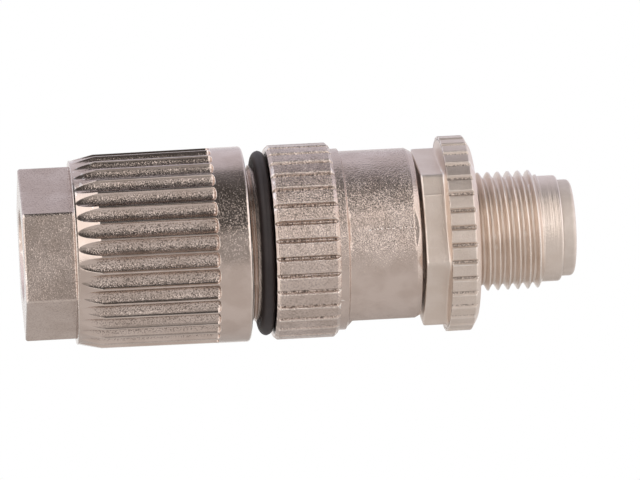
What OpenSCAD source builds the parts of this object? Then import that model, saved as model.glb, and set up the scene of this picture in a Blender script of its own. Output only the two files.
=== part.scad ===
// M12 field-wired plug: clamp nut, housing with a knurled ring, turning M12 locking screw, four-pin insert.
// The plug stands on the hex end of its clamp nut. The common axis is Z, and the mating end is up.

/* [Overall] */
// Largest diameter, shared by the rim of the cap, the knurled ring and the flange of the locking screw
grip_d = 19.35; // [18.8:0.05:22]

/* [Clamp nut] */
// Width across the flats of the spanner hexagon
hex_af = 14.8; // [14:0.1:15.4]
// Diameter to which the corners of the hexagon are turned down
hex_corner_d = 17; // [16:0.1:17.2]
// Height of the spanner hexagon
hex_len = 5; // [3:0.1:8]
// Bevel on the rear corners of the hexagon
hex_bevel = 0.15; // [0.1:0.05:0.8]
// Height of the land where the cap meets the hexagon
shoulder_len = 0.25; // [0.1:0.05:1]
// Height of the conical lead-in between the land and the full width
lead_len = 2.2; // [1:0.1:4]
// Depth of the conical lead-in, measured across
lead_depth = 0.5; // [0.3:0.05:0.6]
// Draft of the cap: its rim is this much wider than the start of its full width
cap_taper = 0.2; // [0:0.05:0.4]
// Height of the fluted grip, from the end of the lead-in to the end of the flutes
flute_len = 11.5; // [8:0.1:16]
// Height of the plain collar above the flutes
collar_len = 3.15; // [2:0.05:6]
// Bevel on the open rim of the cap
rim_bevel = 0.3; // [0.1:0.05:0.6]
// Number of flutes round the cap
flute_count = 36; // [24:1:40]
// Depth of a flute at the rear of the grip
flute_depth = 0.45; // [0.2:0.05:0.6]
// Width of the crest left between two flutes
flute_crest = 0.2; // [0.1:0.05:0.6]
// Angle of the first flute about the axis
flute_turn = 8.4; // [0:0.1:15]
// Angle of the hexagon about the axis
hex_turn = 2.9; // [0:0.1:60]
// Diameter of the cable entry
cable_bore_d = 8.6; // [7.8:0.1:9.4]
// Length of the straight part of the cable entry
cable_bore_len = 3; // [2:0.1:4]
// Bevel at the mouth of the cable entry
cable_bore_bevel = 0.3; // [0.1:0.05:0.6]
// Height of the cone that closes the clamping cage
seat_len = 4; // [3:0.1:5]
// Axial travel left for tightening the clamp nut
clamp_travel = 0.3; // [0.1:0.05:0.4]

/* [Clamping pieces] */
// Inner diameter of the slotted clamping cage
cage_bore_d = 7.2; // [6:0.1:7.4]
// Depth to which the cage reaches into the neck
cage_insert = 2; // [1:0.1:4]
// Number of fingers on the cage
cage_fingers = 8; // [4:1:12]
// Width of the slots between the fingers
cage_slot = 0.8; // [0.4:0.05:1.2]
// Height of the closed band of the cage behind its fingers
cage_band = 3.5; // [2.5:0.1:5]
// Inner diameter of the rubber cable seal
seal_bore_d = 7; // [6:0.1:7.4]
// Height of the rubber cable seal
seal_len = 6; // [4:0.1:7]
// Height of the washer in front of the cable seal
washer_len = 0.8; // [0.5:0.05:1.5]
// Height of the thrust ring that the clamp nut pushes
thrust_len = 0.8; // [0.5:0.05:1.5]
// Height of the ring that takes the cable's screen
screen_ring_len = 3.4; // [2:0.1:4]
// Wall of the ring that takes the cable's screen
screen_ring_wall = 1.6; // [0.8:0.1:2.2]

/* [Housing] */
// Outer diameter of the threaded neck
neck_d = 15.6; // [15.2:0.1:15.9]
// Length of the neck behind the knurled ring
neck_len = 11.4; // [10:0.1:13]
// Wall of the neck
neck_wall = 1.5; // [1.2:0.05:1.7]
// Gap between the rim of the clamp nut and the ring seal
seal_gap = 0.75; // [0.45:0.05:1.2]
// Thickness of the ring seal
oring_section = 1.6; // [1.2:0.1:2]
// Depth of the seal's groove in the neck
seal_groove = 0.3; // [0.3:0.05:0.6]
// Amount by which the knurled ring is narrower than the rim of the cap
knurl_relief = 0.1; // [0:0.05:0.3]
// Height of the knurled ring
knurl_len = 6.3; // [4:0.1:9]
// Bevel of the knurled ring, measured along the axis
knurl_bevel = 0.35; // [0.2:0.05:1]
// Bevel of the knurled ring, measured across
knurl_bevel_r = 0.3; // [0.2:0.05:0.6]
// Number of grooves in the knurled ring
knurl_count = 34; // [20:1:48]
// Width of a groove in the knurled ring
knurl_groove = 0.5; // [0.3:0.05:0.8]
// Depth of a groove in the knurled ring
knurl_depth = 0.38; // [0.1:0.02:0.5]
// Angle of the first knurl groove about the axis
knurl_turn = 5.1; // [0:0.1:18]
// Height of the collar in front of the knurled ring
step_len = 0.85; // [0.4:0.05:2]
// Amount by which the collar stands above the barrel
step_height = 0.28; // [0.1:0.02:0.4]
// Diameter of the barrel
barrel_d = 17.4; // [17:0.1:17.8]
// Height of the barrel from the collar to its front face
barrel_len = 7.25; // [6:0.05:10]
// Edge bevel of the barrel's front face, measured along the axis
barrel_bevel = 0.55; // [0.2:0.05:1]
// Edge bevel of the barrel's front face, measured across
barrel_bevel_r = 0.3; // [0.1:0.05:0.8]
// Depth of the narrow flat on the barrel
front_flat = 0.22; // [0.1:0.02:0.4]
// Direction in which the narrow flat faces
front_flat_turn = 266; // [200:1:300]
// Depth of the wide flat on the barrel
side_flat = 0.58; // [0.3:0.02:0.8]
// Direction in which the wide flat faces
side_flat_turn = 0; // [-30:1:30]
// Shoulder inside the neck that stops the washer, where the bore narrows to that of the barrel
core_step = 0.4; // [0.3:0.05:0.8]
// Thickness of the wall at the front of that bore
front_wall = 0.8; // [0.5:0.05:2]
// Outer diameter of the spigot that carries the locking screw
spigot_d = 12; // [11.6:0.1:12.4]

/* [Locking screw] */
// Gap between the barrel and the locking screw
lock_gap = 0.35; // [0.2:0.05:0.8]
// Width across the flats of the locking screw
lock_af = 15.95; // [15.6:0.05:16.6]
// Diameter to which the corners of that hexagon are turned down
lock_corner_d = 18.25; // [17.8:0.05:18.3]
// Height of the hexagon on the locking screw
lock_hex_len = 1.9; // [1.5:0.1:4]
// Bevel of the hexagon's rear corners
lock_hex_bevel = 0.2; // [0.1:0.05:0.5]
// Angle of the hexagon about the axis
lock_turn = 48.7; // [0:0.1:60]
// Height of the sloping back of the flange
flange_back_len = 0.6; // [0.3:0.05:1]
// Height of the knurled edge of the flange
flange_len = 2.35; // [1.5:0.05:4]
// Bevel at the front of the flange, measured along the axis
flange_bevel = 0.55; // [0.2:0.05:1]
// Bevel at the front of the flange, measured across
flange_bevel_r = 0.95; // [0.4:0.05:1.2]
// Number of grooves round the flange
flange_count = 35; // [20:1:48]
// Width of a groove in the flange
flange_groove = 0.6; // [0.3:0.05:0.8]
// Depth of a groove in the flange
flange_depth = 0.35; // [0.1:0.02:0.5]
// Angle of the first flange groove about the axis
flange_turn = 9.9; // [0:0.1:18]
// Wall of the locking screw inside the root of its thread
thread_wall = 0.43; // [0.3:0.01:0.5]
// Length of the mating thread
thread_len = 7.1; // [5:0.05:10]
// Pitch of the mating thread
thread_pitch = 1; // [0.8:0.05:1.2]
// Wall of the pilot in front of the thread
pilot_wall = 0.4; // [0.35:0.05:0.6]
// Length of the pilot
pilot_len = 1.55; // [1:0.1:4]
// Bevel at the front of the pilot
pilot_bevel = 0.3; // [0.1:0.05:0.3]
// Thickness of the web between the spigot's recess and the flange's front face
lock_web = 0.65; // [0.5:0.05:1]
// Thickness of the retaining ring
retainer_len = 0.7; // [0.5:0.05:0.9]
// Distance by which the retaining ring stands out of its groove
retainer_proud = 0.45; // [0.3:0.05:0.6]
// Depth of the retaining ring's groove in the spigot
retainer_groove = 0.4; // [0.3:0.05:0.5]

/* [Insert] */
// Outer diameter of the shield sleeve
sleeve_d = 9.55; // [9.3:0.05:9.6]
// Wall of the shield sleeve
sleeve_wall = 0.5; // [0.3:0.05:0.6]
// Distance by which the sleeve stands out of the locking screw
nose_len = 1.35; // [0.5:0.1:3]
// Bevel at the front edge of the sleeve
nose_bevel = 0.25; // [0.1:0.05:0.3]
// Thickness of the sleeve's rear flange
sleeve_flange = 0.8; // [0.5:0.05:1.5]
// Depth of the contact chamber in front of the carrier
chamber_depth = 7.6; // [6:0.1:9]
// Diameter of a contact pin
pin_d = 1; // [0.8:0.05:1.2]
// Diameter of the circle of contact pins
pin_circle_d = 5.5; // [5:0.1:5.7]
// Depth of the pin tips below the rim of the sleeve
pin_recess = 0.8; // [0.4:0.1:2]
// Length of a pin's tail inside the terminal block
pin_tail = 4; // [3:0.1:5]
// Width of the coding key
key_width = 0.9; // [0.6:0.05:1.2]
// Height of the coding key above the wall of the chamber
key_height = 0.55; // [0.3:0.05:0.7]
// Length of the terminal block
block_len = 8; // [7:0.1:9]
// Diameter of a wire hole in the terminal block
wire_hole_d = 1.7; // [1.3:0.1:1.9]
// Diameter of a terminal screw
terminal_d = 1.6; // [1.2:0.1:1.8]
// Distance from a pin's tail to the middle of its terminal screw
terminal_offset = 1.6; // [1.2:0.1:2]
// Thickness of the insert's ring seal
insert_seal_section = 0.76; // [0.6:0.02:0.9]

/* [Fits] */
// Radial clearance of the clamp nut on the neck
nut_clear = 0.06; // [0.02:0.01:0.1]
// Radial clearance of the locking screw on the spigot and the sleeve
lock_clear = 0.08; // [0.02:0.01:0.1]
// Radial clearance of loose pieces in their bores
slip_clear = 0.1; // [0.05:0.01:0.15]
// Radial clearance of seated pieces
seat_clear = 0.03; // [0.01:0.01:0.05]
// Gap between faces that meet
face_clear = 0.05; // [0.02:0.01:0.1]

/* [Hidden] */
$fn = 96;
// Overrun of a cutting shape past the face that it cuts
over = 1;
// Number of contact pins, the angle of the first one about the axis, and the step to the next one
pin_count = 4;
pin_turn = 45;
pin_step = 360 / pin_count;
// Slope of the wall in front of the collar: rise along the axis for each millimetre across
wall_slope = tan(30);
// Depth inside the hexagon at which the sloping back of the flange starts
flange_root = 0.33;

// Outer radii
rim_r = grip_d / 2;
cap_r = rim_r - cap_taper / 2;
shoulder_r = cap_r - lead_depth;
knurl_r = rim_r - knurl_relief / 2;
flange_r = rim_r;
barrel_r = barrel_d / 2;
step_r = barrel_r + step_height;
neck_r = neck_d / 2;
seal_groove_r = neck_r - seal_groove;
seal_r = seal_groove_r + seat_clear + oring_section / 2;

// Heights along the axis, from the rear face of the clamp nut
z_cone = hex_len + shoulder_len;
z_grip = z_cone + lead_len;
z_flute_end = z_grip + flute_len;
z_nut_end = z_flute_end + collar_len;
z_knurl = z_nut_end + seal_gap + oring_section;
z_step = z_knurl + knurl_len;
z_barrel = z_step + step_len;
z_barrel_end = z_barrel + barrel_len;
z_lock = z_barrel_end + lock_gap;
z_flange_back = z_lock + lock_hex_len;
z_flange = z_flange_back + flange_back_len;
z_flange_bevel = z_flange + flange_len;
z_thread = z_flange_bevel + flange_bevel;
z_pilot = z_thread + thread_len;
z_lock_end = z_pilot + pilot_len;
z_nose = z_lock_end + nose_len;

// Inside the rear half
z_neck = z_knurl - neck_len;
thrust_gap = clamp_travel + 2 * face_clear;
z_thrust = z_neck - thrust_gap - thrust_len;
z_nut_shoulder = z_thrust - face_clear;
nut_bore_r = neck_r + nut_clear;
neck_bore_r = neck_r - neck_wall;
cage_r = neck_bore_r - slip_clear;
cavity_r = cage_r + 4 * slip_clear;
cable_bore_r = cable_bore_d / 2;
seat_slope = seat_len / (cavity_r - cable_bore_r);
z_cage = cable_bore_len + clamp_travel + 2 * face_clear;
z_cage_full = z_cage + (cage_r - cable_bore_r) * seat_slope;
z_cage_end = z_neck + cage_insert;
z_seal = z_cage_end + face_clear;
z_washer = z_seal + seal_len + face_clear;
z_core = z_washer + washer_len + face_clear;
core_bore_r = neck_bore_r - core_step;
core_r = core_bore_r - slip_clear;

// Inside the front half
z_core_end = z_barrel_end - front_wall;
z_sleeve = z_core_end - sleeve_flange;
z_block_end = z_sleeve - face_clear;
z_block = z_block_end - block_len;
z_pin = z_block_end - pin_tail;
z_pin_end = z_nose - pin_recess;
z_terminal = z_pin - terminal_offset;
z_carrier_end = z_nose - chamber_depth;
z_recess_end = z_thread - lock_web;
// The spigot stops short of its recess, and a land as thick as the retaining ring lies beyond the ring's groove
spigot_gap = 6 * face_clear;
retainer_land = retainer_len + 2 * face_clear;
z_spigot_end = z_recess_end - spigot_gap;
z_retainer = z_spigot_end - retainer_land - retainer_len;
sleeve_r = sleeve_d / 2;
sleeve_bore_r = sleeve_r - sleeve_wall;
carrier_r = sleeve_bore_r - seat_clear;
spigot_bore_r = sleeve_r + seat_clear;
spigot_r = spigot_d / 2;
lock_bore_r = sleeve_r + lock_clear;
pilot_r = lock_bore_r + pilot_wall;
recess_r = spigot_r + lock_clear;
retainer_in_r = spigot_r - retainer_groove + seat_clear;
retainer_out_r = spigot_r + retainer_proud;
insert_seal_r = core_bore_r - insert_seal_section / 2 - seat_clear;
insert_groove_len = insert_seal_section + 2 * face_clear;
z_insert_groove = z_block_end - 2 * insert_groove_len;

// The flutes are round grooves: their radius follows from their chord and depth
flute_chord = 2 * PI * cap_r / flute_count - flute_crest;
flute_r = (pow(flute_chord / 2, 2) + pow(flute_depth, 2)) / (2 * flute_depth);
flute_axis_r = cap_r - flute_depth + flute_r;

// The mating thread has a 60 degree profile, of metric depth, with a crest an eighth of the pitch wide
thread_depth = thread_pitch * sin(60) * 17 / 24;
thread_root_r = lock_bore_r + thread_wall;
thread_r = thread_root_r + thread_depth;
thread_crest = thread_pitch / 8;
thread_foot = thread_crest + 2 * thread_depth * tan(30);
thread_turns = floor(thread_len / thread_pitch);

// Outline of one ridge of the mating thread, whose crest stands at height z
function thread_ridge(z) = [
    [thread_root_r, z - thread_foot / 2],
    [thread_r, z - thread_crest / 2],
    [thread_r, z + thread_crest / 2],
    [thread_root_r, z + thread_foot / 2]
];

// A hexagonal prism with the given width across its flats
module hexagon(across, height) {
    cylinder(d = across / cos(30), h = height, $fn = 6);
}

// A plain tube or ring that starts at height z
module tube(outer_r, inner_r, z, height) {
    translate([0, 0, z])
        difference() {
            cylinder(r = outer_r, h = height);
            translate([0, 0, -over]) cylinder(r = inner_r, h = height + 2 * over);
        }
}

// V grooves along the axis, spread evenly round a cylinder of radius r
module v_grooves(count, turn, r, width, depth, z, height) {
    for (i = [0 : count - 1])
        rotate([0, 0, turn + i * 360 / count])
            translate([0, 0, z])
                linear_extrude(height)
                    polygon([[r - depth, 0], [r + depth, -width], [r + depth, width]]);
}

// Cutter for a flat that faces the given way, with a sloping rear wall and a front bevel
module flat_cut(turn, distance, bevel_r) {
    outer = step_r + over;
    rotate([0, 0, turn])
        rotate([90, 0, 0])
            translate([0, 0, -outer])
                linear_extrude(2 * outer)
                    polygon([
                        [distance, z_barrel + (step_r - distance) * wall_slope],
                        [distance, z_barrel_end - barrel_bevel],
                        [distance - bevel_r, z_barrel_end],
                        [distance - bevel_r, z_barrel_end + over],
                        [outer, z_barrel_end + over],
                        [outer, z_barrel - over * wall_slope]
                    ]);
}

// Round grooves of the cap, each with a ramp at its front end
module flutes() {
    z_ramp = z_flute_end - flute_depth;
    for (i = [0 : flute_count - 1])
        rotate([0, 0, flute_turn + i * 360 / flute_count])
            translate([flute_axis_r, 0, 0]) {
                translate([0, 0, hex_len - over])
                    cylinder(r = flute_r, h = z_ramp - hex_len + over, $fn = 24);
                translate([0, 0, z_ramp])
                    cylinder(r1 = flute_r, r2 = 0, h = flute_r, $fn = 24);
            }
}

// Outside of the cap, from its land to its rim
module cap_body() {
    rotate_extrude()
        polygon([
            [0, hex_len],
            [shoulder_r, hex_len],
            [shoulder_r, z_cone],
            [cap_r, z_grip],
            [rim_r, z_nut_end - rim_bevel],
            [rim_r - rim_bevel, z_nut_end],
            [0, z_nut_end]
        ]);
}

// Spanner hexagon at the cable end, with turned corners
module nut_hexagon() {
    intersection() {
        rotate([0, 0, hex_turn]) hexagon(hex_af, z_cone);
        rotate_extrude()
            polygon([
                [0, 0],
                [hex_corner_d / 2 - hex_bevel, 0],
                [hex_corner_d / 2, hex_bevel],
                [hex_corner_d / 2, z_cone],
                [0, z_cone]
            ]);
    }
}

// Hollow of the clamp nut: cable entry, closing cone, cavity and threaded bore
module nut_hollow() {
    rotate_extrude()
        polygon([
            [0, -over],
            [cable_bore_r + cable_bore_bevel + over, -over],
            [cable_bore_r, cable_bore_bevel],
            [cable_bore_r, cable_bore_len],
            [cavity_r, cable_bore_len + seat_len],
            [cavity_r, z_nut_shoulder],
            [nut_bore_r, z_nut_shoulder],
            [nut_bore_r, z_nut_end - rim_bevel],
            [nut_bore_r + rim_bevel + over, z_nut_end + over],
            [0, z_nut_end + over]
        ]);
}

module clamp_nut() {
    color("#a79c98")
        difference() {
            union() {
                nut_hexagon();
                cap_body();
            }
            flutes();
            nut_hollow();
        }
}

// Plain ring between the shoulder of the clamp nut and the end of the neck
module thrust_ring() {
    color("#2b2b2d") tube(nut_bore_r - face_clear, cage_r + slip_clear, z_thrust, thrust_len);
}

// Slotted cage that the cone of the clamp nut presses onto the cable
module clamp_cage() {
    cage_bore_r = cage_bore_d / 2;
    color("#2b2b2d")
        difference() {
            rotate_extrude()
                polygon([
                    [cage_bore_r, z_cage],
                    [cable_bore_r, z_cage],
                    [cage_r, z_cage_full],
                    [cage_r, z_cage_end],
                    [cage_bore_r, z_cage_end]
                ]);
            for (i = [0 : cage_fingers - 1])
                rotate([0, 0, i * 360 / cage_fingers])
                    translate([0, -cage_slot / 2, z_cage - over])
                        cube([cage_r + over, cage_slot, z_cage_end - cage_band - z_cage + over]);
        }
}

module cable_seal() {
    color("#262424") tube(cage_r, seal_bore_d / 2, z_seal, seal_len);
}

module seal_washer() {
    color("#b0a8a2") tube(cage_r, seal_bore_d / 2, z_washer, washer_len);
}

module screen_ring() {
    color("#b0a8a2") tube(core_r, core_r - screen_ring_wall, z_core + face_clear, screen_ring_len);
}

// Outside of the housing: neck, seal groove, knurled ring, collar, barrel and spigot
module housing_body() {
    z_groove = z_knurl - oring_section - face_clear;
    z_barrel_full = z_barrel + (step_r - barrel_r) * wall_slope;
    rotate_extrude()
        polygon([
            [0, z_neck],
            [neck_r - rim_bevel, z_neck],
            [neck_r, z_neck + rim_bevel],
            [neck_r, z_groove],
            [seal_groove_r, z_groove],
            [seal_groove_r, z_knurl],
            [knurl_r - knurl_bevel_r, z_knurl],
            [knurl_r, z_knurl + knurl_bevel],
            [knurl_r, z_step - knurl_bevel],
            [knurl_r - knurl_bevel_r, z_step],
            [step_r, z_step],
            [step_r, z_barrel],
            [barrel_r, z_barrel_full],
            [barrel_r, z_barrel_end - barrel_bevel],
            [barrel_r - barrel_bevel_r, z_barrel_end],
            [spigot_r, z_barrel_end],
            [spigot_r, z_spigot_end],
            [0, z_spigot_end]
        ]);
}

module housing() {
    color("#a79c98")
        difference() {
            housing_body();
            v_grooves(knurl_count, knurl_turn, knurl_r, knurl_groove, knurl_depth, z_knurl, knurl_len);
            flat_cut(front_flat_turn, barrel_r - front_flat, 0);
            flat_cut(side_flat_turn, barrel_r - side_flat, barrel_bevel_r);
            translate([0, 0, z_neck - over]) cylinder(r = neck_bore_r, h = z_core - z_neck + over);
            translate([0, 0, z_core - over]) cylinder(r = core_bore_r, h = z_core_end - z_core + over);
            translate([0, 0, z_core_end - over])
                cylinder(r = spigot_bore_r, h = z_spigot_end - z_core_end + 2 * over);
            retainer_groove();
        }
}

// Groove in the spigot for the retaining ring
module retainer_groove() {
    tube(spigot_r + over, spigot_r - retainer_groove, z_retainer, retainer_len + 2 * face_clear);
}

module housing_seal() {
    section_r = oring_section / 2;
    color("#2f2a2a")
        translate([0, 0, z_knurl - section_r - face_clear / 2])
            rotate_extrude()
                translate([seal_r, 0]) circle(r = section_r, $fn = 48);
}

// Block with a wire hole and a side screw behind each pin
module terminal_block() {
    groove_r = insert_seal_r - insert_seal_section / 2 - seat_clear;
    color("#2b2b2d")
        difference() {
            translate([0, 0, z_block]) cylinder(r = core_r, h = block_len);
            tube(core_r + over, groove_r, z_insert_groove, insert_groove_len);
            for (i = [0 : pin_count - 1])
                rotate([0, 0, pin_turn + i * pin_step]) {
                    translate([pin_circle_d / 2, 0, z_block - over])
                        cylinder(d = wire_hole_d, h = z_pin - z_block + over, $fn = 32);
                    translate([pin_circle_d / 2, 0, z_pin - over])
                        cylinder(r = pin_d / 2 + seat_clear, h = pin_tail + 2 * over, $fn = 32);
                    translate([pin_circle_d / 2, 0, z_terminal])
                        rotate([0, 90, 0]) cylinder(r = terminal_d / 2 + seat_clear, h = core_r, $fn = 32);
                }
        }
}

// Slotted screw that clamps a wire from the side
module terminal_screw(i) {
    slot_width = terminal_d / 4;
    slot_depth = terminal_d / 3;
    head_r = core_r - face_clear;
    tip_r = pin_circle_d / 2 + wire_hole_d / 4;
    color("#b9b4ae")
        rotate([0, 0, pin_turn + (i - 1) * pin_step])
            difference() {
                translate([tip_r, 0, z_terminal])
                    rotate([0, 90, 0]) cylinder(d = terminal_d, h = head_r - tip_r, $fn = 32);
                translate([head_r - slot_depth, -slot_width / 2, z_terminal - terminal_d])
                    cube([slot_depth + over, slot_width, 2 * terminal_d]);
            }
}

module insert_seal() {
    color("#2f2a2a")
        translate([0, 0, z_insert_groove + insert_groove_len / 2])
            rotate_extrude()
                translate([insert_seal_r, 0]) circle(d = insert_seal_section, $fn = 32);
}

// Carrier that holds the pins, with the coding key along the wall of the chamber
module contact_carrier() {
    color("#2b2b2d")
        difference() {
            union() {
                translate([0, 0, z_sleeve]) cylinder(r = carrier_r, h = z_carrier_end - z_sleeve);
                intersection() {
                    tube(carrier_r, carrier_r - key_height, z_sleeve, z_pin_end - z_sleeve);
                    translate([0, -key_width / 2, z_sleeve]) cube([carrier_r, key_width, z_pin_end]);
                }
            }
            for (i = [0 : pin_count - 1])
                rotate([0, 0, pin_turn + i * pin_step])
                    translate([pin_circle_d / 2, 0, z_sleeve - over])
                        cylinder(r = pin_d / 2 + seat_clear, h = z_nose - z_sleeve, $fn = 32);
        }
}

// Contact pin with a tapered tip
module contact_pin(i) {
    tip = pin_d / 4;
    color("#d8b25a")
        rotate([0, 0, pin_turn + (i - 1) * pin_step])
            translate([pin_circle_d / 2, 0, 0])
                rotate_extrude($fn = 32)
                    polygon([
                        [0, z_pin],
                        [pin_d / 2, z_pin],
                        [pin_d / 2, z_pin_end - 2 * tip],
                        [pin_d / 2 - tip, z_pin_end],
                        [0, z_pin_end]
                    ]);
}

// Metal sleeve round the carrier, held by its rear flange
module shield_sleeve() {
    color("#c4b7ae")
        rotate_extrude()
            polygon([
                [sleeve_bore_r, z_sleeve],
                [core_r, z_sleeve],
                [core_r, z_core_end - face_clear],
                [sleeve_r, z_core_end - face_clear],
                [sleeve_r, z_nose - nose_bevel],
                [sleeve_r - nose_bevel, z_nose],
                [sleeve_bore_r, z_nose]
            ]);
}

// Ring in the spigot's groove that keeps the locking screw on
module retaining_ring() {
    color("#9a958f") tube(retainer_out_r, retainer_in_r, z_retainer + face_clear, retainer_len);
}

// Hexagon at the rear of the locking screw
module lock_hexagon() {
    corner_r = lock_corner_d / 2;
    intersection() {
        translate([0, 0, z_lock]) rotate([0, 0, lock_turn]) hexagon(lock_af, z_flange - z_lock);
        rotate_extrude()
            polygon([
                [0, z_lock],
                [corner_r - lock_hex_bevel, z_lock],
                [corner_r, z_lock + lock_hex_bevel],
                [corner_r, z_flange],
                [0, z_flange]
            ]);
    }
}

// Turned outside of the locking screw: flange, thread and pilot. The flange's back grows out of the hexagon.
// The thread is a ridge for each turn, without the helix.
module lock_body() {
    rotate_extrude()
        polygon([
            [0, z_flange_back],
            [lock_af / 2 - flange_root, z_flange_back],
            [flange_r, z_flange],
            [flange_r, z_flange_bevel],
            [flange_r - flange_bevel_r, z_thread],
            [thread_root_r, z_thread],
            for (i = [0 : thread_turns - 1]) each thread_ridge(z_thread + (i + 0.5) * thread_pitch),
            [thread_root_r, z_pilot],
            [pilot_r, z_pilot],
            [pilot_r, z_lock_end - pilot_bevel],
            [pilot_r - pilot_bevel, z_lock_end],
            [0, z_lock_end]
        ]);
}

// Bore of the locking screw: recess for the spigot, groove for the retaining ring, bore for the sleeve
module lock_hollow() {
    z_ring_groove = z_retainer - 2 * face_clear;
    ring_groove_len = retainer_len + 6 * face_clear;
    translate([0, 0, z_lock - over]) cylinder(r = recess_r, h = z_recess_end - z_lock + over);
    translate([0, 0, z_ring_groove]) cylinder(r = retainer_out_r + slip_clear, h = ring_groove_len);
    translate([0, 0, z_lock]) cylinder(r = lock_bore_r, h = z_lock_end - z_lock + over);
}

module locking_screw() {
    color("#b8aaa0")
        difference() {
            union() {
                lock_hexagon();
                lock_body();
            }
            v_grooves(flange_count, flange_turn, flange_r, flange_groove, flange_depth,
                z_flange_back, z_thread - z_flange_back);
            lock_hollow();
        }
}

clamp_nut();
thrust_ring();
clamp_cage();
cable_seal();
seal_washer();
screen_ring();
housing();
housing_seal();
terminal_block();
terminal_screw(1);  // terminal_screw_1
terminal_screw(2);  // terminal_screw_2
terminal_screw(3);  // terminal_screw_3
terminal_screw(4);  // terminal_screw_4
insert_seal();
contact_carrier();
contact_pin(1);  // contact_pin_1
contact_pin(2);  // contact_pin_2
contact_pin(3);  // contact_pin_3
contact_pin(4);  // contact_pin_4
shield_sleeve();
retaining_ring();
locking_screw();
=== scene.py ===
"""Looks of an M12 field-wired plug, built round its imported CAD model.

The plug stands on its clamp nut with its axis along Z. Its cast and turned pieces are made here as rings of
points about that axis, in millimetres, with the rounded edges, teeth and real threads that the solids leave
plain.
"""
import math

import bpy
import numpy as np
from mathutils import Matrix, Vector

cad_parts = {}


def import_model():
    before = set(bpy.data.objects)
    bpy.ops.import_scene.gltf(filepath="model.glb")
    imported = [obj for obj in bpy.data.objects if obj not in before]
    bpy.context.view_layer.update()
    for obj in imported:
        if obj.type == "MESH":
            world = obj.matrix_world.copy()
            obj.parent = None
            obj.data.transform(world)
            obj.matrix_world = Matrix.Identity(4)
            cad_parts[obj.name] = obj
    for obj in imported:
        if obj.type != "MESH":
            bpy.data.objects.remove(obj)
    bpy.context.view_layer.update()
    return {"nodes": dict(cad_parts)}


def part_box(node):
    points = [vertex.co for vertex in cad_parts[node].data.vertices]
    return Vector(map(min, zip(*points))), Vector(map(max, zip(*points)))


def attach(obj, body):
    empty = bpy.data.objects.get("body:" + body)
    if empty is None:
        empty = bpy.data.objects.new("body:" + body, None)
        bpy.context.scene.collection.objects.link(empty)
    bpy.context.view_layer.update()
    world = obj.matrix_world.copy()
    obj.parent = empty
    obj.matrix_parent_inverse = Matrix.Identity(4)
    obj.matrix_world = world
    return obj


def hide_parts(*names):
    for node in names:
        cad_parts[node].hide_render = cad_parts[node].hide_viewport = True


MM = 0.001
TURN = 2 * math.pi
# Radius beyond every piece, for where a cutter takes nothing away
UNCUT = 99.0
# Painted highlight along the edges, and painted shade in the pits of the plate and the floors of grooves
EDGE_HIGHLIGHT = "#F6EFE9"
PIT_SHADE = "#4A3E3A"


def reach(node):
    """Lowest and highest point of a CAD node along the axis, and its largest radius, in millimetres."""
    low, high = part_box(node)
    return low.z / MM, high.z / MM, high.x / MM


# ---------------------------------------------------------------- outlines and rings

def rounded(outline, steps=4, hold=0.04):
    """Rows (r, z) along an outline. Each of its points is (r, z) or (r, z, radius of its rounding).

    steps is the number of facets in a rounding, and hold is how far past it a row keeps the face straight.
    """
    points = [Vector(p[:2]) for p in outline]
    rows = []
    for i, point in enumerate(points):
        radius = outline[i][2] if len(outline[i]) > 2 else 0
        if radius == 0:
            rows.append(tuple(point))
            continue
        before = points[i - 1] - point
        after = points[i + 1] - point
        half = before.angle(after) / 2
        cut = radius / math.tan(half)
        centre = point + (before.normalized() + after.normalized()).normalized() * radius / math.sin(half)
        start = point + before.normalized() * cut - centre
        sweep = start.angle_signed(point + after.normalized() * cut - centre)
        if before.length > cut + 3 * hold:
            rows.append(tuple(point + before.normalized() * (cut + hold)))
        for k in range(steps + 1):
            turned = Matrix.Rotation(-sweep * k / steps, 2) @ start
            rows.append(tuple(centre + turned))
        if after.length > cut + 3 * hold:
            rows.append(tuple(point + after.normalized() * (cut + hold)))
    return rows


def refine(rows, low, high, step):
    """Adds rows to an outline that climbs, so that they lie at most step apart from height low to high."""
    hair = 1e-6
    made = [rows[0]]
    for (r0, z0), (r1, z1) in zip(rows, rows[1:]):
        length = math.hypot(r1 - r0, z1 - z0)
        rise = max(z1 - z0, 1e-9)
        start, end = (min(max((height - z0) / rise, 0), 1) for height in (low, high))
        shares = []
        if z1 > z0 and end > start:
            parts = max(1, math.ceil((end - start) * length / step))
            shares = [start + (end - start) * k / parts for k in range(parts + 1)]
        for share in [s for s in shares if hair < s < 1 - hair] + [1.0]:
            made.append((r0 + (r1 - r0) * share, z0 + (z1 - z0) * share))
    return made


def block(rows, phi, shape=None):
    """Rings for a stretch of outline: angles, radii and heights, one line of each for each row."""
    r, z = (np.array(v, float)[:, None] for v in zip(*rows))
    phi = np.broadcast_to(phi, (len(rows), np.shape(phi)[-1]))
    r = np.broadcast_to(r, phi.shape)
    z = np.broadcast_to(z, phi.shape)
    return (phi, shape(phi, r, z), z) if shape else (phi, r, z)


def even(count):
    """Angles of evenly spaced columns."""
    return np.arange(count) * TURN / count


def toothed(count, turn, edge):
    """Angles of columns that follow the edges of count grooves. edge is half a groove's angle, row by row."""
    half = math.pi / count
    edge = np.asarray(edge, float)[:, None]
    # The columns crowd towards the groove's edge, where the surface turns most
    inside = edge * np.array([0.35, 0.7, 0.93, 1.0])
    land = edge + (half - edge) * np.array([0.12, 0.45])
    middle = np.zeros_like(edge)
    offsets = np.hstack([middle - half, -land[:, ::-1], -inside[:, ::-1], middle, inside, land])
    starts = math.radians(turn) + np.arange(count) * 2 * half
    return (starts[None, :, None] + offsets[:, None, :]).reshape(len(edge), -1)


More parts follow.
